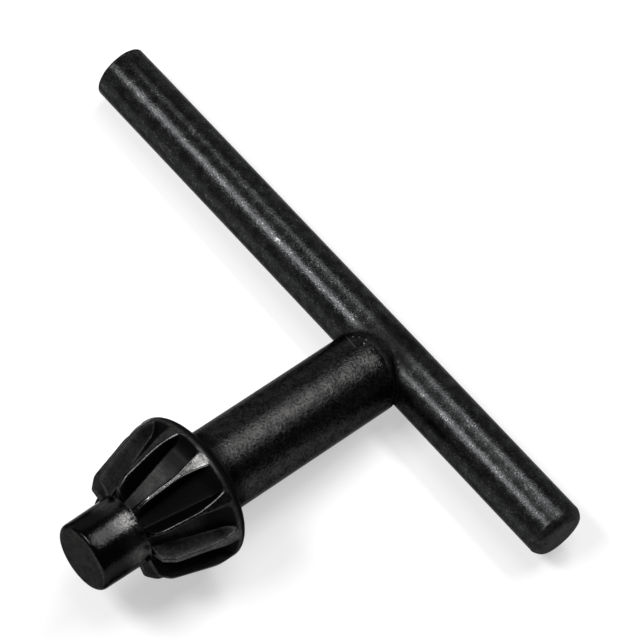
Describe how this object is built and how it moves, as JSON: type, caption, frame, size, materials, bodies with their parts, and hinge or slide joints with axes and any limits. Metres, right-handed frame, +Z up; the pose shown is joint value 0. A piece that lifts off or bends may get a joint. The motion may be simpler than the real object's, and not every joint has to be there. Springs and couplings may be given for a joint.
{
  "type": "drill chuck key",
  "caption": "T-shaped key: a toothed bevel pinion with a pilot pin on a round stem, welded to a plain round cross handle.",
  "frame": {"origin": "on the floor, under the middle of the key's box as it lies at rest", "axes": "+X along the cross handle towards its short arm, -Y along the stem towards the pilot pin, which points up a little, +Z up"},
  "size_m": [0.076, 0.047, 0.0173],
  "materials": {
    "handle_steel": "drawn round bar, black oxide, satin with fine grain",
    "pinion_steel": "turned and milled, black oxide, oiled, with thin bright edges on the teeth"
  },
  "bodies": {
    "root": {"pinion_stem": "pinion_steel", "cross_handle": "handle_steel"}
  },
  "joints": []
}
